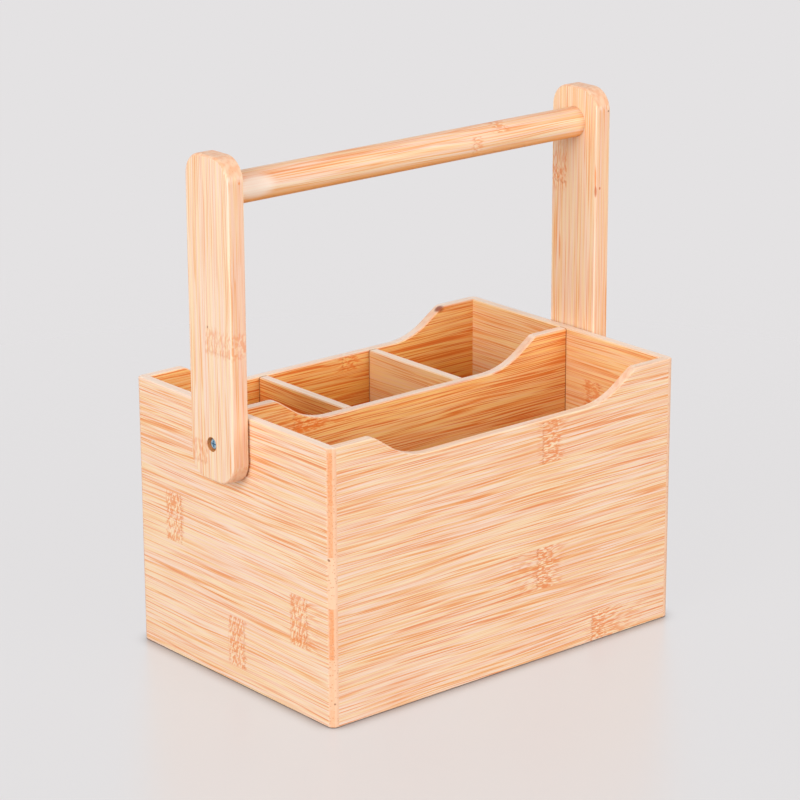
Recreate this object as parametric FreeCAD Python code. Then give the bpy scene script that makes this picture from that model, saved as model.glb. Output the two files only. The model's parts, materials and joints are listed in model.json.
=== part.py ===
import FreeCAD, Part
import math
import os

# Utensil caddy: an open bamboo box with scooped rims, one long front compartment, three rear
# cells and a carrying handle that swings on two pivot screws.
# Millimetres. +X runs along the box, +Y to the back, +Z up; the origin is the centre of the footprint.

# box
box_length = 250.0
box_depth = 171.0
box_height = 156.0
wall = 6.0
corner_radius = 4.0
rebate_depth = 1.5
arris = 0.8
inner_chamfer = 0.6
foot_chamfer = 0.5

# scooped rim, shared by the front panel, the back panel and the middle divider
scoop_depth = 16.0
scoop_slope = 0.6745
shoulder_length = 28.2
lip_radius = 7.0
root_radius = 46.0

# dividers
divider_thickness = 6.0
rear_cells = 3

# bottom board, held in grooves
bottom_thickness = 4.0
bottom_lift = 5.0
groove_depth = 3.0
groove_play = 0.15

# handle
arm_length = 179.0
arm_width = 37.0
arm_thickness = 11.0
arm_corner = 13.0
arm_arris = 1.5
arm_inner_chamfer = 0.8
bar_diameter = 17.5
bar_from_arm_end = 20.5
bar_bevel = 0.6
socket_depth = 6.0
socket_play = 0.05

# pivots
pivot_below_rim = 16.0
pivot_from_arm_end = 21.0
screw_diameter = 3.5
screw_length = 25.0
screw_point = 3.5
head_diameter = 7.0
head_height = 2.6
head_chamfer = 1.1
head_sink = 1.3
recess_span = 3.8
recess_width = 0.9
recess_depth = 1.5
counterbore_diameter = 8.0
pivot_play = 0.05
screw_hole_play = 0.02
washer_diameter = 11.0
washer_thickness = 0.7
washer_bore_play = 0.1
washer_play = 0.1

# places that follow from the sizes above
half_length = box_length / 2
half_depth = box_depth / 2
inner_half_length = half_length - wall
inner_half_depth = half_depth - wall
rim_low = box_height - scoop_depth
floor_top = bottom_lift + bottom_thickness
arm_inner_x = half_length + washer_thickness + washer_play
arm_outer_x = arm_inner_x + arm_thickness
pivot_z = box_height - pivot_below_rim
arm_bottom_z = pivot_z - pivot_from_arm_end
arm_top_z = arm_bottom_z + arm_length
bar_z = arm_top_z - bar_from_arm_end
head_seat_x = arm_outer_x - head_sink - head_height
screw_tip_x = head_seat_x - screw_length

SAME = 1e-6


def vec(x, y, z):
    return FreeCAD.Vector(x, y, z)


def mirrored(shape):
    return shape.mirror(vec(0, 0, 0), vec(1, 0, 0))


def edges_on(solid, axis, value, keep):
    """Edges that lie in the plane where the axis has this value, and whose box passes keep."""
    found = []
    for edge in solid.Edges:
        box = edge.BoundBox
        low = getattr(box, axis + "Min")
        high = getattr(box, axis + "Max")
        if abs(low - value) < SAME and abs(high - value) < SAME and keep(box):
            found.append(edge)
    return found


def cylinder_along_x(diameter, x_from, x_to, z):
    return Part.makeCylinder(diameter / 2, x_to - x_from, vec(x_from, 0, z), vec(1, 0, 0))


def scooped_board(half_span, foot_z, thickness):
    """Board from foot_z up to the scooped rim, centred on Y, with square ends at the half span."""
    slope = math.atan(scoop_slope)
    half_slope = slope / 2
    lip_drop = lip_radius * (1 - math.cos(slope))
    root_rise = root_radius * (1 - math.cos(slope))
    ramp_drop = scoop_depth - lip_drop - root_rise

    lip_x = half_length - shoulder_length
    ramp_top_x = lip_x - lip_radius * math.sin(slope)
    ramp_foot_x = ramp_top_x - ramp_drop / scoop_slope
    low_x = ramp_foot_x - root_radius * math.sin(slope)

    def at(x, z):
        return vec(x, -thickness / 2, z)

    def rim_side(side):
        lip_middle = at(side * (lip_x - lip_radius * math.sin(half_slope)),
                        box_height - lip_radius * (1 - math.cos(half_slope)))
        root_middle = at(side * (low_x + root_radius * math.sin(half_slope)),
                         rim_low + root_radius * (1 - math.cos(half_slope)))
        ramp_top = at(side * ramp_top_x, box_height - lip_drop)
        ramp_foot = at(side * ramp_foot_x, rim_low + root_rise)
        return [
            Part.LineSegment(at(side * half_span, foot_z), at(side * half_span, box_height)),
            Part.LineSegment(at(side * half_span, box_height), at(side * lip_x, box_height)),
            Part.Arc(at(side * lip_x, box_height), lip_middle, ramp_top),
            Part.LineSegment(ramp_top, ramp_foot),
            Part.Arc(ramp_foot, root_middle, at(side * low_x, rim_low)),
        ]

    level = [
        Part.LineSegment(at(-low_x, rim_low), at(low_x, rim_low)),
        Part.LineSegment(at(-half_span, foot_z), at(half_span, foot_z)),
    ]
    curves = rim_side(-1) + rim_side(1) + level
    outline = Part.Wire(Part.__sortEdges__([curve.toShape() for curve in curves]))
    return Part.Face(outline).extrude(vec(0, thickness, 0))


def front_panel():
    """Scooped board between the end panels, with a square tongue at each end for their rebates."""
    board = scooped_board(inner_half_length, 0.0, wall)

    def on_the_rim(box):
        return box.XLength > SAME and box.ZMin > floor_top

    board = board.makeFillet(arris, edges_on(board, "Y", -wall / 2, on_the_rim))
    board = board.makeChamfer(inner_chamfer, edges_on(board, "Y", wall / 2, on_the_rim))
    foot = edges_on(board, "Y", -wall / 2, lambda box: box.XLength > SAME and box.ZMax < SAME)
    board = board.makeChamfer(foot_chamfer, foot)
    board.translate(vec(0, wall / 2 - half_depth, 0))

    tongue = Part.makeBox(rebate_depth, wall, box_height, vec(inner_half_length, -half_depth, 0))

    def on_the_outside(box):
        return box.YMax < SAME - half_depth

    tongue = tongue.makeFillet(arris, edges_on(tongue, "Z", box_height, on_the_outside))
    tongue = tongue.makeChamfer(foot_chamfer, edges_on(tongue, "Z", 0.0, on_the_outside))

    panel = board.fuse([tongue, mirrored(tongue)]).removeSplitter()
    reach = inner_half_length + rebate_depth
    groove = Part.makeBox(2 * reach, groove_depth, bottom_thickness + groove_play,
                          vec(-reach, -inner_half_depth - groove_depth, bottom_lift))
    return panel.cut(groove)


def back_panel():
    return front_panel().mirror(vec(0, 0, 0), vec(0, 1, 0))


def end_panel_lip():
    """Rounded front corner of the right end panel, thinned by the rebate behind it."""
    inside_x = inner_half_length + rebate_depth
    lip = Part.makeBox(half_length - inside_x, wall, box_height, vec(inside_x, -half_depth, 0))
    corner = edges_on(lip, "X", half_length, lambda box: box.YMax < SAME - half_depth)
    lip = lip.makeFillet(min(corner_radius, half_length - inside_x - SAME), corner)

    def on_the_outside(box):
        return box.XMax > inside_x + SAME and box.YMin < -inner_half_depth - SAME

    lip = lip.makeFillet(arris, edges_on(lip, "Z", box_height, on_the_outside))
    return lip.makeChamfer(foot_chamfer, edges_on(lip, "Z", 0.0, on_the_outside))


def right_end_panel():
    """Straight-topped panel over the front and back panels' ends, bored for the pivot screw."""
    panel = Part.makeBox(wall, 2 * inner_half_depth, box_height,
                         vec(inner_half_length, -inner_half_depth, 0))

    def along_the_top(box):
        return box.YLength > SAME and box.ZMin > floor_top

    panel = panel.makeFillet(arris, edges_on(panel, "X", half_length, along_the_top))
    panel = panel.makeChamfer(inner_chamfer, edges_on(panel, "X", inner_half_length, along_the_top))
    foot = edges_on(panel, "X", half_length, lambda box: box.YLength > SAME and box.ZMax < SAME)
    panel = panel.makeChamfer(foot_chamfer, foot)
    lip = end_panel_lip()
    panel = panel.fuse([lip, lip.mirror(vec(0, 0, 0), vec(0, 1, 0))]).removeSplitter()

    reach = inner_half_depth + groove_depth
    groove = Part.makeBox(groove_depth, 2 * reach, bottom_thickness + groove_play,
                          vec(inner_half_length, -reach, bottom_lift))
    bore = cylinder_along_x(screw_diameter + 2 * screw_hole_play, inner_half_length, half_length, pivot_z)
    return panel.cut([groove, bore])


def bottom_panel():
    half_x = inner_half_length + groove_depth - groove_play
    half_y = inner_half_depth + groove_depth - groove_play
    return Part.makeBox(2 * half_x, 2 * half_y, bottom_thickness, vec(-half_x, -half_y, bottom_lift))


def middle_divider():
    """Scooped divider whose full-height ends take the pivot screws in their end grain."""
    board = scooped_board(inner_half_length, floor_top, divider_thickness)
    rims = []
    for y in (-divider_thickness / 2, divider_thickness / 2):
        rims += edges_on(board, "Y", y, lambda box: box.XLength > SAME and box.ZMin > floor_top + SAME)
    board = board.makeChamfer(inner_chamfer, rims)
    hole = cylinder_along_x(screw_diameter + 2 * screw_hole_play, screw_tip_x, inner_half_length, pivot_z)
    return board.cut([hole, mirrored(hole)])


def cross_divider(x):
    """Low divider between two rear cells, level with the low part of the scooped rims."""
    depth = inner_half_depth - divider_thickness / 2
    board = Part.makeBox(divider_thickness, depth, rim_low - floor_top,
                         vec(x - divider_thickness / 2, divider_thickness / 2, floor_top))
    rims = edges_on(board, "Z", rim_low, lambda box: box.YLength > SAME)
    return board.makeChamfer(inner_chamfer, rims)


def cross_divider_places():
    """Centres of the dividers that split the rear compartment into equal cells."""
    dividers = rear_cells - 1
    cell = (2 * inner_half_length - dividers * divider_thickness) / rear_cells
    pitch = cell + divider_thickness
    return [(index - (dividers - 1) / 2) * pitch for index in range(dividers)]


def right_arm():
    """Upright with rounded ends, a blind socket for the bar and a counterbored pivot bore."""
    arm = Part.makeBox(arm_thickness, arm_width, arm_length, vec(arm_inner_x, -arm_width / 2, arm_bottom_z))
    corners = [edge for edge in arm.Edges if edge.BoundBox.XLength > SAME]
    arm = arm.makeFillet(min(arm_corner, arm_width / 2 - arm_arris), corners)
    arm = arm.makeFillet(arm_arris, edges_on(arm, "X", arm_outer_x, lambda box: True))
    arm = arm.makeChamfer(arm_inner_chamfer, edges_on(arm, "X", arm_inner_x, lambda box: True))
    socket = cylinder_along_x(bar_diameter + 2 * socket_play, arm_inner_x, arm_inner_x + socket_depth, bar_z)
    bore = cylinder_along_x(screw_diameter + 2 * pivot_play, arm_inner_x, arm_outer_x, pivot_z)
    counterbore = cylinder_along_x(counterbore_diameter, head_seat_x, arm_outer_x, pivot_z)
    return arm.cut([socket, bore, counterbore])


def handle_bar():
    """Round bar seated on the bottoms of the two arm sockets."""
    reach = arm_inner_x + socket_depth
    bar = cylinder_along_x(bar_diameter, -reach, reach, bar_z)
    ends = [edge for edge in bar.Edges if edge.BoundBox.XLength < SAME]
    return bar.makeChamfer(bar_bevel, ends)


def right_screw():
    """Pan-head wood screw: a revolved head and pointed shank, with a cross recess in its crown."""
    shank = screw_diameter / 2
    head = head_diameter / 2
    crown_x = head_seat_x + head_height
    profile = [
        (screw_tip_x, 0),
        (screw_tip_x + screw_point, shank),
        (head_seat_x, shank),
        (head_seat_x, head),
        (crown_x - head_chamfer, head),
        (crown_x, head - head_chamfer),
        (crown_x, 0),
        (screw_tip_x, 0),
    ]
    outline = Part.makePolygon([vec(x, radius, pivot_z) for x, radius in profile])
    screw = Part.Face(outline).revolve(vec(0, 0, pivot_z), vec(1, 0, 0), 360)
    long_side = recess_span / 2
    short_side = recess_width / 2
    slots = []
    for half_y, half_z in ((long_side, short_side), (short_side, long_side)):
        slots.append(Part.makeBox(recess_depth, 2 * half_y, 2 * half_z,
                                  vec(crown_x - recess_depth, -half_y, pivot_z - half_z)))
    return screw.cut(slots)


def right_washer():
    """Thin washer that keeps the arm off the end panel."""
    outer = cylinder_along_x(washer_diameter, half_length, half_length + washer_thickness, pivot_z)
    bore = cylinder_along_x(screw_diameter + 2 * washer_bore_play, half_length,
                            half_length + washer_thickness, pivot_z)
    return outer.cut(bore)


def build_nodes():
    nodes = {
        "front_panel": front_panel(),
        "back_panel": back_panel(),
        "bottom_panel": bottom_panel(),
        "middle_divider": middle_divider(),
        "handle_bar": handle_bar(),
    }
    cross_names = ("left_cross_divider", "right_cross_divider")
    for name, x in zip(cross_names, cross_divider_places()):
        nodes[name] = cross_divider(x)
    paired = {
        "end_panel": right_end_panel(),
        "handle_arm": right_arm(),
        "pivot_screw": right_screw(),
        "pivot_washer": right_washer(),
    }
    for name, shape in paired.items():
        nodes["right_" + name] = shape
        nodes["left_" + name] = mirrored(shape)
    return nodes


os.makedirs("parts", exist_ok=True)
for node, shape in build_nodes().items():
    shape.exportStep("parts/" + node + ".step")
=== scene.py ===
import json
import math
from collections import namedtuple
import bpy
from mathutils import Euler, Matrix, Vector


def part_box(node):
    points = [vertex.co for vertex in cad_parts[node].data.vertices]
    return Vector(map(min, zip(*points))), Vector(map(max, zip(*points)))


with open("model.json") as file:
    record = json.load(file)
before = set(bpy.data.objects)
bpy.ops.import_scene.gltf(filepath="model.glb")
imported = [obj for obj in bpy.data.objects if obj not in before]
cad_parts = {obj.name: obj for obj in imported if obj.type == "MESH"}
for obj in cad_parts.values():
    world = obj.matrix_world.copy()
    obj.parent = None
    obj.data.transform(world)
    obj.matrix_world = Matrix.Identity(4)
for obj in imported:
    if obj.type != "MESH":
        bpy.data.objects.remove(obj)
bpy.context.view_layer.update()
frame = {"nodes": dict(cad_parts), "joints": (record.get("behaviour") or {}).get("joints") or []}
nodes = frame["nodes"]

MILLIMETRES = 1000.0
AXES = "XYZ"


def reach(node, axis):
    """How far a node reaches along an axis, in millimetres."""
    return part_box(node)[1][AXES.index(axis)] * MILLIMETRES


HALF_LENGTH = reach("right_end_panel", "X")
RIM_HEIGHT = reach("right_end_panel", "Z")
DIVIDER_END = reach("middle_divider", "X")
CROSS_DIVIDER_END = reach("left_cross_divider", "Y")
ARM_FRONT = -reach("left_handle_arm", "Y")
HEAD_ROOM = 0.5
COUNTERBORE_RADIUS = reach("left_pivot_screw", "Y") + HEAD_ROOM
PIVOT_HEIGHT = frame["joints"][0]["pos_m"][2] * MILLIMETRES

# shader tools ------------------------------------------------------------------------------------


def display(red, green, blue):
    """A colour given as display numbers from 0 to 255, as the linear colour that a socket takes."""
    linear = []
    for number in (red, green, blue):
        share = number / 255
        linear.append(share / 12.92 if share <= 0.04045 else ((share + 0.055) / 1.055) ** 2.4)
    return (*linear, 1.0)


class Flow:
    """One output socket of a finish. Sums and products of flows add their Math nodes."""

    def __init__(self, finish, socket):
        self.finish = finish
        self.socket = socket

    def math(self, operation, *operands):
        kinds = [operand.socket.type for operand in operands if isinstance(operand, Flow)]
        node = "ShaderNodeVectorMath" if "VECTOR" in kinds else "ShaderNodeMath"
        if "VECTOR" in kinds:
            operands = [item if isinstance(item, Flow) else (item, item, item) for item in operands]
        return self.finish.node(node, {"operation": operation}, dict(enumerate(operands)))

    def __add__(self, other):
        return self.math("ADD", self, other)

    def __sub__(self, other):
        return self.math("SUBTRACT", self, other)

    def __rsub__(self, other):
        return self.math("SUBTRACT", other, self)

    def __mul__(self, other):
        return self.math("MULTIPLY", self, other)

    def __truediv__(self, other):
        return self.math("DIVIDE", self, other)

    __radd__ = __add__
    __rmul__ = __mul__

    def size(self):
        return self.math("ABSOLUTE", self)

    def rise(self, low, high):
        """0 below low, 1 above high, and a smooth step between them."""
        return self.finish.node("ShaderNodeMapRange", {"interpolation_type": "SMOOTHSTEP"},
                                {"Value": self, "From Min": low, "From Max": high})

    def fall(self, low, high):
        return 1 - self.rise(low, high)

    def length(self):
        """The length of a vector."""
        return self.finish.node("ShaderNodeVectorMath", {"operation": "LENGTH"}, {0: self}, "Value")

    def parts(self):
        """The three numbers of a vector or colour."""
        split = self.finish.node("ShaderNodeSeparateXYZ", {}, {"Vector": self}).socket.node
        return [Flow(self.finish, socket) for socket in split.outputs]


class Finish:
    """The nodes of a material or a world in the making: one method adds any node."""

    def __init__(self, owner):
        self.owner = owner
        owner.use_nodes = True
        self.tree = owner.node_tree
        self.tree.nodes.clear()

    def node(self, kind, settings, sockets, output=0):
        made = self.tree.nodes.new(kind)
        for name, value in settings.items():
            if name == "stops":
                set_stops(made.color_ramp.elements, value)
            else:
                setattr(made, name, value)
        for name, value in sockets.items():
            if isinstance(value, Flow):
                self.tree.links.new(value.socket, made.inputs[name])
            else:
                made.inputs[name].default_value = value
        return Flow(self, made.outputs[output]) if made.outputs else None

    def vector(self, x, y, z):
        return self.node("ShaderNodeCombineXYZ", {}, {"X": x, "Y": y, "Z": z})

    def noise(self, place, detail=0.0, distortion=0.0):
        return self.node("ShaderNodeTexNoise", {}, {
            "Vector": place, "Scale": 1.0, "Detail": detail, "Roughness": 0.5,
            "Distortion": distortion})

    def mix(self, below, above, amount, blend="MIX"):
        """Two colours, from the one below to the one above as amount goes from 0 to 1."""
        return self.node("ShaderNodeMix", {"data_type": "RGBA", "blend_type": blend},
                         {0: amount, 6: below, 7: above}, 2)

    def tint(self, colour, filter_colour, amount):
        return self.mix(colour, filter_colour, amount, "MULTIPLY")

    def surface(self, shader):
        self.node("ShaderNodeOutputMaterial", {}, {"Surface": shader})
        return self.owner


def set_stops(elements, stops):
    for position, colour in stops[len(elements):]:
        elements.new(position)
    for element, (position, colour) in zip(elements, stops):
        element.position = position
        element.color = colour


def total(flows):
    result = flows[0]
    for flow in flows[1:]:
        result = result + flow
    return result


# bamboo ------------------------------------------------------------------------------------------

PALE = display(249, 220, 192)
HONEY = display(246, 204, 166)
FIBRE = display(242, 177, 127)
DARK_FIBRE = display(235, 147, 91)
# CREAM is also the colour of the painted highlight on eased edges.
CREAM = display(254, 228, 204)
END_PALE = display(247, 203, 169)
END_ORANGE = display(238, 157, 104)
PORE = display(206, 142, 100)
SCAR = display(236, 138, 74)
DARK_SCAR = display(198, 98, 40)
FLECK = display(255, 233, 196)
# The next colour is the painted highlight on faces that look up, and a pale patch on the handle bar.
RIM_HIGHLIGHT_AND_PATCH = display(255, 236, 220)
# The next colour is painted warm bounce light on the lower side of a round board.
UNDERSIDE_BOUNCE_LIGHT = display(255, 176, 92)
STAIN = display(150, 72, 42)
# The next colour is painted shade in the seams at the dividers' ends.
SEAM_SHADE = display(150, 84, 46)
SPECK = display(120, 66, 36)

# filters that a colour is multiplied by
# The first two paint shade on the faces that look inwards: over the whole face, and more along the
# dark fibres.
INNER_SHADE_TINT = (1.0, 0.85, 0.49, 1.0)
FIBRE_SHADE_TINT = (0.86, 0.66, 0.42, 1.0)
PINK_TINT = (0.99, 0.97, 1.05, 1.0)
YELLOW_TINT = (1.0, 1.0, 0.90, 1.0)
# The next filter is painted shade inside the arms' counterbores.
BORE_SHADE_TINT = (0.90, 0.62, 0.34, 1.0)

GRAIN_RAMP = [(0.0, PALE), (0.30, HONEY), (0.68, FIBRE), (1.0, DARK_FIBRE)]

# Lengths on the bamboo are in millimetres.
WALL_STRIP = 24.3
END_STRIP = 28.75
SEAM_HALF_WIDTH = 0.45

# Fibres stray from straight lines by up to half the wander, in waves of this length and spacing,
# and each strip's fibres slant by up to half of this much per length.
WANDER = 2.6
WANDER_LENGTH = 65
WANDER_SPACING = 16
SLANT = 0.014

# The marks of a knuckle: how unevenly its ridge runs, the flecks' length and width, the length
# and lean of the flecks that lie across the grain, the whiskers' length, how fast they spread
# apart with the distance from the ridge, and how far a scar's colour covers the board's.
RIDGE_WOBBLE = 4.0
FLECK_LENGTH = 3.4
FLECK_WIDTH = 0.85
UPRIGHT_FLECK_LENGTH = 2.6
FLECK_LEAN = 0.3
WHISKER_LENGTH = 7.0
WHISKER_FAN = 0.014
MOST_SCAR = 0.85

BAMBOO_ROUGHNESS = 0.36
FIBRE_RELIEF = 0.00012  # metres

# The scar where a strip crosses one of the stalk's knuckles: its place along the grain, how far
# short whiskers of dark fibre reach before it, the length of its flecked band, and how far the
# whiskers reach after the band.
Knuckle = namedtuple("Knuckle", "place whiskers_before band whiskers_after")

# A small mark: its colour, its place along, across and through the board, and its half sizes.
Mark = namedtuple("Mark", "colour along across deep half_length half_width")


class Board(Finish):
    """Laminated bamboo in the making. Fibres run along the grain axis, in strips that lie side by
    side along the stack axis; strips are numbered from the seam."""

    def __init__(self, name, grain, stack, strip_width, seam, seed):
        super().__init__(bpy.data.materials.new(name))
        place = self.node("ShaderNodeTexCoord", {}, {}, "Object") * MILLIMETRES
        normal = self.node("ShaderNodeTexCoord", {}, {}, "Normal")
        where = dict(zip(AXES, place.parts()))
        facing = dict(zip(AXES, normal.parts()))
        thickness = (set(AXES) - {grain, stack}).pop()
        self.along, self.across, self.deep = where[grain], where[stack], where[thickness]
        self.end_normal = facing[grain]
        self.edge_normal = facing[stack]
        self.face_normal = facing[thickness]
        self.seed = seed
        strips = (self.across - seam) / strip_width
        half_strip = strip_width / 2
        self.strip = strips.math("FLOOR", strips)
        self.off_middle = (strips - self.strip - 0.5) * strip_width
        self.near_seam = self.off_middle.size().rise(half_strip - SEAM_HALF_WIDTH, half_strip)
        draws = self.node("ShaderNodeTexWhiteNoise", {"noise_dimensions": "2D"},
                          {"Vector": self.vector(self.strip, seed, 0.0)}, "Color").parts()
        self.tone_draw, slant_draw = draws[:2]
        wander = self.noise(self.vector(self.along / WANDER_LENGTH + self.strip * 3.7,
                                        self.across / WANDER_SPACING, seed)) - 0.5
        self.drift = self.across + wander * WANDER + self.along * (slant_draw - 0.5) * SLANT

    def by_strip(self, values):
        """A number that differs from strip to strip, and is 0 in a strip that isn't named."""
        return total([self.strip.math("COMPARE", self.strip, number, 0.5) * value
                      for number, value in values.items()])

    def fibres(self, length, spacing, shift):
        """Streaks of this length and spacing. A shift of its own keeps each set apart."""
        return self.noise(self.vector(self.along / length + self.strip * 7.3 + shift,
                                      self.drift / spacing, self.deep / spacing + self.seed))

    def flecks(self, along, across, shift, distortion=0.0):
        """Flecks in coordinates in which each is about 1 long and 1 wide."""
        return self.noise(self.vector(along + shift, across, self.deep / 2), detail=1.0,
                          distortion=distortion)

    def ripple(self, width, shift=0.0, detail=0.0):
        """A number that changes from fibre to fibre across the board, and not along it."""
        return self.noise(self.vector(self.across / width, self.seed + shift, 0.0), detail)


def long_grain(board, tone, strength, tones):
    """Colour of the fibres along the grain, and their relief. tones makes single strips darker."""
    hair = board.fibres(length=38, spacing=0.50, shift=11.0).rise(0.36, 0.64)
    thin = board.fibres(length=60, spacing=0.72, shift=37.0).rise(0.50, 0.61)
    wide = board.fibres(length=85, spacing=1.70, shift=53.0).rise(0.44, 0.64)
    crowd = board.fibres(length=75, spacing=5.5, shift=71.0)
    blush = board.fibres(length=70, spacing=1.30, shift=93.0)

    mean_lines = 0.27
    crowded = crowd.rise(0.25, 0.60) * 0.6 + 0.5
    lines = (hair - 0.5) * 0.54 + (thin * 0.62 + wide * 0.12 - mean_lines) * crowded
    strip_tone = board.by_strip(tones) if tones else (board.tone_draw - 0.5) * 0.12
    shades = (crowd - 0.5) * 0.24 + strip_tone
    amount = (lines + shades) * strength + tone

    colour = board.node("ShaderNodeValToRGB", {"stops": GRAIN_RAMP}, {"Fac": amount})
    colour = board.tint(colour, PINK_TINT, blush.rise(0.48, 0.62))
    colour = board.tint(colour, YELLOW_TINT, blush.fall(0.38, 0.52))
    return board.mix(colour, DARK_FIBRE, board.near_seam * 0.25), hair * 0.5 + thin * 0.5


def knuckle_scars(board, colour, knuckles, darkness, upright):
    """Adds a scar to each strip that has a knuckle. The flecks of an upright scar lie across the
    grain, and otherwise along it."""
    present = board.by_strip({strip: 1.0 for strip in knuckles})
    place, whiskers_before, band_length, whiskers_after = [
        board.by_strip({strip: getattr(knuckle, field) for strip, knuckle in knuckles.items()})
        for field in Knuckle._fields]
    wobble = board.ripple(2.6, shift=5.0, detail=2.0) - 0.5
    past = board.along - place + wobble * RIDGE_WOBBLE
    beyond = past - band_length
    fan = board.off_middle * (1 - past.size() * WHISKER_FAN)

    if upright:
        leaning = board.along + board.across * FLECK_LEAN
        dashes = board.flecks(leaning, board.across / UPRIGHT_FLECK_LENGTH, 50, distortion=0.45)
    else:
        dashes = board.flecks(board.along / FLECK_LENGTH, board.across / FLECK_WIDTH, 50,
                              distortion=0.45)
    whiskers = board.flecks(board.along / WHISKER_LENGTH, fan / FLECK_WIDTH, 90)
    pores = board.ripple(0.55)

    ridge = past.size().fall(0.3, 1.0) * pores.rise(0.50, 0.56)
    band = past.rise(-1.5, 1.0) * beyond.fall(-1.0, 2.0)
    before = past.rise(0 - whiskers_before, -1.0) * past.fall(-1.0, 1.0)
    after = beyond.rise(-1.0, 1.0) * beyond.fall(0.0, whiskers_after)
    fringe = before + after
    marks = (band * (dashes.rise(0.50, 0.57) * 0.65 + 0.20)
             + fringe * whiskers.rise(0.49, 0.62) * 0.70)
    flecks = band * dashes.fall(0.38, 0.45) + fringe * whiskers.fall(0.36, 0.44) * 0.5

    marks = marks.math("MINIMUM", marks, MOST_SCAR)
    colour = board.mix(colour, SCAR, marks * present * darkness)
    colour = board.mix(colour, FLECK, flecks * present * 0.65 * darkness)
    return board.mix(colour, DARK_SCAR, ridge * present * darkness * 0.55)


def shade_inner_faces(board, colour, relief, inner_face, inner_shade, low_shade):
    """Paints shade on the faces that look inwards, deepening their colour most of all along their
    dark fibres.
    inner_face is the sign of such a face's normal, or 0 where both faces look inwards."""
    inward = board.face_normal * inner_face if inner_face else board.face_normal.size()
    inward = inward.rise(0.4, 0.8)
    colour = board.tint(colour, INNER_SHADE_TINT, inward * inner_shade)
    colour = board.tint(colour, FIBRE_SHADE_TINT, inward * relief.rise(0.5, 1.0) * inner_shade * 0.6)
    # More painted shade, darker towards the bottom of the inside.
    if low_shade:
        low = board.across.fall(RIM_HEIGHT - 44, RIM_HEIGHT - 4)
        colour = board.tint(colour, INNER_SHADE_TINT, inward * low * low_shade)
    return colour


def end_grain(board, skins):
    """Colour of cut ends. skins gives each strip's share of dense orange fibre, most of which lies
    just inside an end panel's outer face."""
    pores = board.node("ShaderNodeTexVoronoi", {}, {
        "Vector": board.vector(board.across / 1.5, board.deep / 1.3, board.along / 5), "Scale": 1.0})
    if skins:
        edge = board.deep.size() + (board.ripple(2.2) - 0.5) * 0.8
        core = (edge.rise(HALF_LENGTH - 2.5, HALF_LENGTH - 1.7)
                * edge.fall(HALF_LENGTH - 0.7, HALF_LENGTH - 0.1))
        mottle = board.noise(
            board.vector(board.across / 1.1, board.deep / 0.7, board.along / 3), detail=1.0)
        dense = board.by_strip(skins) * (core * (mottle + 0.10) + 0.26)
    else:
        dense = board.fibres(length=60, spacing=2.6, shift=37.0).rise(0.35, 0.70) * 0.45
    colour = board.mix(END_PALE, END_ORANGE, dense)
    return board.mix(colour, PORE, pores.fall(0.16, 0.34) * (0.6 if skins else 0.25))


def marked(board, colour, marks):
    """Adds small marks, each with a soft edge."""
    for mark in marks:
        offset = board.vector((board.along - mark.along) / mark.half_length,
                              (board.across - mark.across) / mark.half_width,
                              (board.deep - mark.deep) / mark.half_width)
        colour = board.mix(colour, mark.colour, offset.length().fall(0.5, 1.1) * 0.75)
    return colour


def shade_bore(board, colour, height):
    """Paints shade inside the counterbore of an arm."""
    from_centre = board.vector(board.along - height, board.across, 0.0).length()
    inside = from_centre.fall(COUNTERBORE_RADIUS + 0.05, COUNTERBORE_RADIUS + 0.15)
    return board.tint(colour, BORE_SHADE_TINT, inside)


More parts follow.
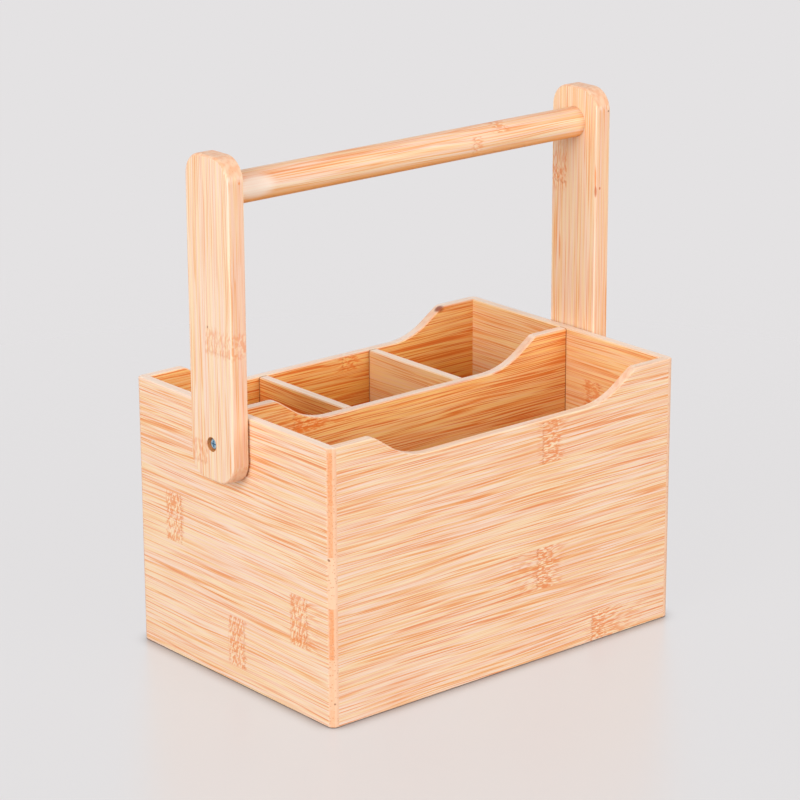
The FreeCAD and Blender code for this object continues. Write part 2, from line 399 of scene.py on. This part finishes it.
def bamboo(name, grain, stack, strip_width, seam, seed, tone=0.3, strength=1.0, tones=None,
           knuckles=None, scar=1.0, upright=False, inner_face=None, inner_shade=1.0, low_shade=0.0,
           underside_bounce=0.0, skins=None, rim_highlight=0.7, arris_highlight=0.4, marks=(), bore=None,
           seam_shade_from=None):
    """A board's finish.

    tone, strength, tones: how dark the fibres are, their contrast, and what single strips add
    knuckles, scar, upright: the knuckles by strip, how dark their scars are, and their direction
    inner_face, inner_shade, low_shade: the inner face, how much painted shade it gets, and how much
    more painted shade it gets low down
    underside_bounce: how much painted warm bounce light a round board's lower side gets
    skins: the dense share of each strip's end grain
    rim_highlight, arris_highlight: how strong the painted highlights on the upper edge and on the
    eased edges are
    marks, bore: its small marks, and the height of its bore, which gets painted shade inside
    seam_shade_from: how far out from the middle the painted shade of the seams at its ends begins
    """
    board = Board(name, grain, stack, strip_width, seam, seed)
    colour, relief = long_grain(board, tone, strength, tones)
    if knuckles:
        colour = knuckle_scars(board, colour, knuckles, scar, upright)
    if inner_face is not None:
        colour = shade_inner_faces(board, colour, relief, inner_face, inner_shade, low_shade)
    # Painted warm bounce light on the lower side.
    if underside_bounce:
        colour = board.mix(colour, UNDERSIDE_BOUNCE_LIGHT, board.edge_normal.fall(-0.85, -0.25) * underside_bounce)

    end = board.end_normal.size().rise(0.12, 0.45)
    colour = board.mix(colour, end_grain(board, skins), end)
    # Painted highlights: faces that look up are paled towards near white, and the eased edges
    # towards cream.
    colour = board.mix(colour, RIM_HIGHLIGHT_AND_PATCH, board.edge_normal.rise(0.75, 0.95) * rim_highlight)
    lean = board.face_normal.size()
    arris = lean.rise(0.2, 0.45) * lean.fall(0.80, 0.95) * (1 - end)
    colour = board.mix(colour, CREAM, arris * arris_highlight)
    colour = marked(board, colour, marks)
    # Painted shade inside the counterbore.
    if bore:
        colour = shade_bore(board, colour, bore)
    # Painted shade in the seams where the board's ends meet the boards they butt against.
    if seam_shade_from:
        seam_shade = board.along.size().rise(seam_shade_from, seam_shade_from + 0.5)
        colour = board.mix(colour, SEAM_SHADE, seam_shade * 0.8)

    bumped = board.node("ShaderNodeBump", {"invert": True}, {
        "Strength": 0.25, "Distance": FIBRE_RELIEF, "Height": relief})
    shader = board.node("ShaderNodeBsdfPrincipled", {}, {
        "Base Color": colour, "Roughness": BAMBOO_ROUGHNESS + relief * 0.10, "Normal": bumped,
        "Specular IOR Level": 0.45})
    return board.surface(shader)


def dress(node, material):
    mesh = nodes[node].data
    mesh.materials.clear()
    mesh.materials.append(material)


BOARDS = {
    "front_panel": dict(
        grain="X", stack="Z", strip_width=WALL_STRIP, seam=17.5, seed=3.0,
        tone=0.35, strength=0.88,
        tones={5: 0.05, 4: 0.06, 3: 0.02, 2: -0.07, 1: 0.05, 0: -0.03},
        knuckles={4: Knuckle(25.0, 6.0, 11.0, 10.0), 1: Knuckle(21.5, 28.0, 11.0, 14.0),
                  -1: Knuckle(64.0, 6.0, 10.0, 45.0)},
        inner_face=1, rim_highlight=0.3,
        marks=[Mark(CREAM, -114.8, 59.4, -85.5, 0.5, 0.4)]),
    "back_panel": dict(
        grain="X", stack="Z", strip_width=WALL_STRIP, seam=9.0, seed=8.0,
        tone=0.46, strength=1.8,
        knuckles={5: Knuckle(18.0, 8.0, 10.0, 8.0), 2: Knuckle(-61.0, 20.0, 11.0, 10.0),
                  0: Knuckle(84.0, 8.0, 12.0, 20.0)},
        inner_face=-1, low_shade=1.0,
        marks=[Mark(STAIN, 93.2, 154.6, 81.0, 4.0, 2.8), Mark(STAIN, 92.8, 154.8, 81.0, 3.0, 2.0)]),
    "left_end_panel": dict(
        grain="Y", stack="Z", strip_width=END_STRIP, seam=9.9, seed=14.0,
        # The lower strips' paler tones also paint the floor's bounce light, on top of each strip's
        # own tone.
        tone=0.29, strength=0.95, tones={4: 0.10, 3: 0.03, 2: -0.07, 1: -0.04, 0: -0.13},
        knuckles={2: Knuckle(46.0, 3.0, 13.0, 2.0), 1: Knuckle(-64.5, 16.0, 13.0, 2.0),
                  0: Knuckle(-9.5, 3.0, 13.0, 2.0)}, scar=0.85, upright=True,
        inner_face=1, rim_highlight=0.75,
        skins={-1: 0.5, 0: 0.35, 1: 1.0, 2: 0.15, 3: 0.8, 4: 1.0, 5: 0.6},
        marks=[Mark(SPECK, -83.4, 94.7, -124.5, 0.9, 0.8),
               Mark(SPECK, -84.8, 13.6, -122.5, 0.6, 0.9)]),
    "right_end_panel": dict(
        grain="Y", stack="Z", strip_width=END_STRIP, seam=14.0, seed=21.0,
        tone=0.21, strength=0.8,
        knuckles={3: Knuckle(-31.0, 6.0, 12.0, 4.0), 1: Knuckle(40.0, 12.0, 13.0, 8.0)}, scar=0.8,
        inner_face=-1, inner_shade=0.65,
        skins={-1: 0.4, 0: 0.6, 1: 0.3, 2: 0.5, 3: 0.6, 4: 0.4}),
    "middle_divider": dict(
        grain="X", stack="Z", strip_width=WALL_STRIP, seam=13.0, seed=27.0,
        tone=0.40, strength=2.3,
        knuckles={5: Knuckle(-83.0, 10.0, 20.0, 30.0), 2: Knuckle(60.0, 10.0, 11.0, 10.0)},
        inner_face=0, seam_shade_from=DIVIDER_END - 0.9),
    "left_cross_divider": dict(
        grain="Y", stack="Z", strip_width=WALL_STRIP, seam=22.0, seed=33.0,
        strength=1.5, inner_face=0, low_shade=0.7, seam_shade_from=CROSS_DIVIDER_END - 1.0),
    "right_cross_divider": dict(
        grain="Y", stack="Z", strip_width=WALL_STRIP, seam=11.0, seed=39.0,
        tone=0.05, strength=0.8, inner_face=0, inner_shade=0.75, seam_shade_from=CROSS_DIVIDER_END - 1.0),
    "bottom_panel": dict(
        grain="X", stack="Y", strip_width=WALL_STRIP, seam=-80.0, seed=45.0,
        knuckles={1: Knuckle(-50.0, 8.0, 12.0, 8.0), 4: Knuckle(72.0, 8.0, 12.0, 8.0)},
        inner_face=1, rim_highlight=0.0),
    "left_handle_arm": dict(
        grain="Z", stack="Y", strip_width=22.3, seam=ARM_FRONT, seed=52.0,
        tone=0.17, strength=0.8,
        knuckles={0: Knuckle(192.0, 3.0, 11.0, 5.0), 1: Knuckle(128.5, 2.0, 11.0, 2.0)}, scar=0.55,
        rim_highlight=0.0, bore=PIVOT_HEIGHT,
        marks=[Mark(SPECK, 205.0, 1.5, -136.8, 0.8, 0.5),
               Mark(SCAR, 285.0, ARM_FRONT, -129.0, 1.0, 0.8)]),
    "right_handle_arm": dict(
        grain="Z", stack="Y", strip_width=24.5, seam=ARM_FRONT, seed=58.0,
        tone=0.19, strength=0.8, knuckles={1: Knuckle(240.5, 8.0, 9.0, 24.0)},
        inner_face=-1, inner_shade=0.15, rim_highlight=0.0, bore=PIVOT_HEIGHT,
        marks=[Mark(SCAR, 201.5, 11.0, 125.8, 10.0, 0.8),
               Mark(SCAR, 247.0, -18.0, 126.0, 9.0, 0.6),
               Mark(DARK_SCAR, 239.5, -18.0, 126.2, 4.0, 0.8),
               Mark(DARK_SCAR, 241.0, ARM_FRONT, 129.0, 1.0, 0.8),
               Mark(SPECK, 289.8, ARM_FRONT, 134.8, 0.7, 0.6),
               Mark(SPECK, 285.2, ARM_FRONT, 134.8, 0.7, 0.6)]),
    "handle_bar": dict(
        grain="X", stack="Z", strip_width=17.0, seam=264.8, seed=66.0,
        tone=0.33, strength=0.62, tones={1: 0.22},
        knuckles={0: Knuckle(42.0, 3.0, 5.0, 3.0), 1: Knuckle(61.0, 5.0, 7.0, 4.0)}, scar=0.7,
        underside_bounce=1.0, rim_highlight=0.0, arris_highlight=0.0,
        marks=[Mark(RIM_HIGHLIGHT_AND_PATCH, -110.0, 278.7, -8.2, 14.5, 7.5)]),
}

for board_name, making in BOARDS.items():
    dress(board_name, bamboo(board_name + "_bamboo", **making))

# zinc-plated steel -------------------------------------------------------------------------------

ZINC_BLUE = display(128, 186, 220)
ZINC_BRIGHT = display(206, 222, 226)
ZINC_ROUGHNESS = 0.22
ZINC_RELIEF = 0.00004  # metres


def zinc():
    finish = Finish(bpy.data.materials.new("zinc_plate"))
    place = finish.node("ShaderNodeTexCoord", {}, {}, "Object") * MILLIMETRES
    clouds = finish.noise(place * 0.9, detail=3.0)
    grains = finish.noise(place * 9.0, detail=2.0)
    colour = finish.mix(ZINC_BLUE, ZINC_BRIGHT, clouds.rise(0.35, 0.65))
    bumped = finish.node("ShaderNodeBump", {}, {
        "Strength": 0.2, "Distance": ZINC_RELIEF, "Height": grains})
    shader = finish.node("ShaderNodeBsdfPrincipled", {}, {
        "Base Color": colour, "Metallic": 0.6, "Roughness": ZINC_ROUGHNESS + grains * 0.2,
        "Normal": bumped})
    return finish.surface(shader)


plate = zinc()
for fixing in ("left_pivot_screw", "right_pivot_screw", "left_pivot_washer", "right_pivot_washer"):
    dress(fixing, plate)

# floor and backdrop ------------------------------------------------------------------------------

# Lengths from here on are in metres.
BACKDROP = display(228, 226, 227)
BACKDROP_SHARE = 0.85
FLOOR_SEEN = display(234, 232, 233)
FLOOR_PAINT = display(178, 177, 178)
CONTACT_SHADOW = display(120, 98, 88)
CONTACT_REACH = 0.012
FLOOR_RADIUS = 3.0
FLOOR_GAP = 0.0002
FADE_FROM = 0.35
FADE_TO = 0.9
WHITE = (1.0, 1.0, 1.0, 1.0)
FILL_LIGHT = (1.0, 0.99, 0.98, 1.0)
FILL_STRENGTH = 0.42


def floor():
    """A round floor that melts into the backdrop, with a soft reflection of what stands on it."""
    bpy.ops.mesh.primitive_circle_add(vertices=96, radius=FLOOR_RADIUS, fill_type="TRIFAN",
                                      location=(0, 0, -FLOOR_GAP))
    ground = bpy.context.object
    ground.name = "floor"
    finish = Finish(bpy.data.materials.new("floor_gloss"))
    place = finish.node("ShaderNodeTexCoord", {}, {}, "Object")
    clear = finish.node("ShaderNodeBsdfTransparent", {}, {})
    paint = finish.node("ShaderNodeBsdfDiffuse", {}, {"Color": FLOOR_PAINT})
    open_sky = finish.node("ShaderNodeAmbientOcclusion", {"samples": 12},
                           {"Distance": CONTACT_REACH}, "AO")
    seen = finish.mix(CONTACT_SHADOW, FLOOR_SEEN, open_sky.rise(0.25, 0.95))
    glow = finish.node("ShaderNodeEmission", {}, {"Color": seen, "Strength": 1.0})
    rays = finish.node("ShaderNodeLightPath", {}, {}, "Is Camera Ray")
    matte = finish.node("ShaderNodeMixShader", {}, {0: rays * BACKDROP_SHARE, 1: paint, 2: glow})
    gloss = finish.node("ShaderNodeBsdfGlossy", {}, {"Color": WHITE, "Roughness": 0.30})
    sheen = finish.node("ShaderNodeFresnel", {}, {"IOR": 1.45})
    polished = finish.node("ShaderNodeMixShader", {}, {0: sheen * rays * 1.7, 1: matte, 2: gloss})
    fade = place.length().rise(FADE_FROM, FADE_TO)
    shader = finish.node("ShaderNodeMixShader", {}, {0: fade, 1: polished, 2: clear})
    ground.data.materials.append(finish.surface(shader))


def backdrop():
    """A plain pale wall where it is seen, and a softer fill light everywhere else."""
    world = bpy.data.worlds.new("studio")
    bpy.context.scene.world = world
    finish = Finish(world)
    rays = finish.node("ShaderNodeLightPath", {}, {}).socket.node
    seen = Flow(finish, rays.outputs["Is Camera Ray"])
    for kind in ("Is Glossy Ray", "Is Transmission Ray"):
        seen = seen.math("MAXIMUM", seen, Flow(finish, rays.outputs[kind]))
    fill = finish.node("ShaderNodeBackground", {}, {"Color": FILL_LIGHT, "Strength": FILL_STRENGTH})
    wall = finish.node("ShaderNodeBackground", {}, {"Color": BACKDROP, "Strength": 1.0})
    shader = finish.node("ShaderNodeMixShader", {}, {0: seen, 1: fill, 2: wall})
    finish.node("ShaderNodeOutputWorld", {}, {"Surface": shader})


floor()
backdrop()

# lamps -------------------------------------------------------------------------------------------

LAMP_AIM = (0.0, 0.0, 0.12)
LAMP_SIZE = 2.56
LAMP_AWAY = 3.84
LAMP_HEIGHT = 1.53

# each lamp's place on the floor plan, and its power in watts
LAMPS = {
    "right_front": (0.64, -LAMP_AWAY, 92),
    "left": (-LAMP_AWAY, -0.96, 127),
    "right": (LAMP_AWAY, 0.64, 34),
    "back": (0.40, LAMP_AWAY, 34),
}


def lamp(name, x, y, power):
    """A big soft square lamp, which polished surfaces don't show."""
    data = bpy.data.lights.new(name, "AREA")
    data.shape = "SQUARE"
    data.size = LAMP_SIZE
    data.energy = power
    thing = bpy.data.objects.new(name, data)
    bpy.context.scene.collection.objects.link(thing)
    thing.visible_glossy = False
    thing.location = (x, y, LAMP_HEIGHT)
    aim = Vector(LAMP_AIM) - Vector(thing.location)
    thing.rotation_euler = aim.to_track_quat("-Z", "Y").to_euler()


for lamp_name, placing in LAMPS.items():
    lamp(lamp_name, *placing)

# camera ------------------------------------------------------------------------------------------

CAMERA_AIM = (0.02222, 0.03286, 0.12383)
CAMERA_AZIMUTH = math.radians(-40.085)
CAMERA_ELEVATION = math.radians(17.672)
CAMERA_ROLL = math.radians(-0.236)
CAMERA_DISTANCE = 1.769
CAMERA_LENS = 138.56


def camera():
    """Looks down at the caddy's front left corner, and aims a little behind the caddy's centre."""
    data = bpy.data.cameras.new("camera")
    data.sensor_fit = "HORIZONTAL"
    data.sensor_width = 36.0
    data.lens = CAMERA_LENS
    data.clip_end = 50.0
    eye = bpy.data.objects.new("camera", data)
    bpy.context.scene.collection.objects.link(eye)
    turn = Euler((math.pi / 2 - CAMERA_ELEVATION, 0.0, CAMERA_AZIMUTH)).to_matrix().to_4x4()
    level = Matrix.Rotation(CAMERA_ROLL, 4, "Z")
    away = Matrix.Translation((0.0, 0.0, CAMERA_DISTANCE))
    eye.matrix_world = Matrix.Translation(CAMERA_AIM) @ turn @ level @ away
    bpy.context.scene.camera = eye


camera()
bpy.context.scene.view_settings.view_transform = "Standard"
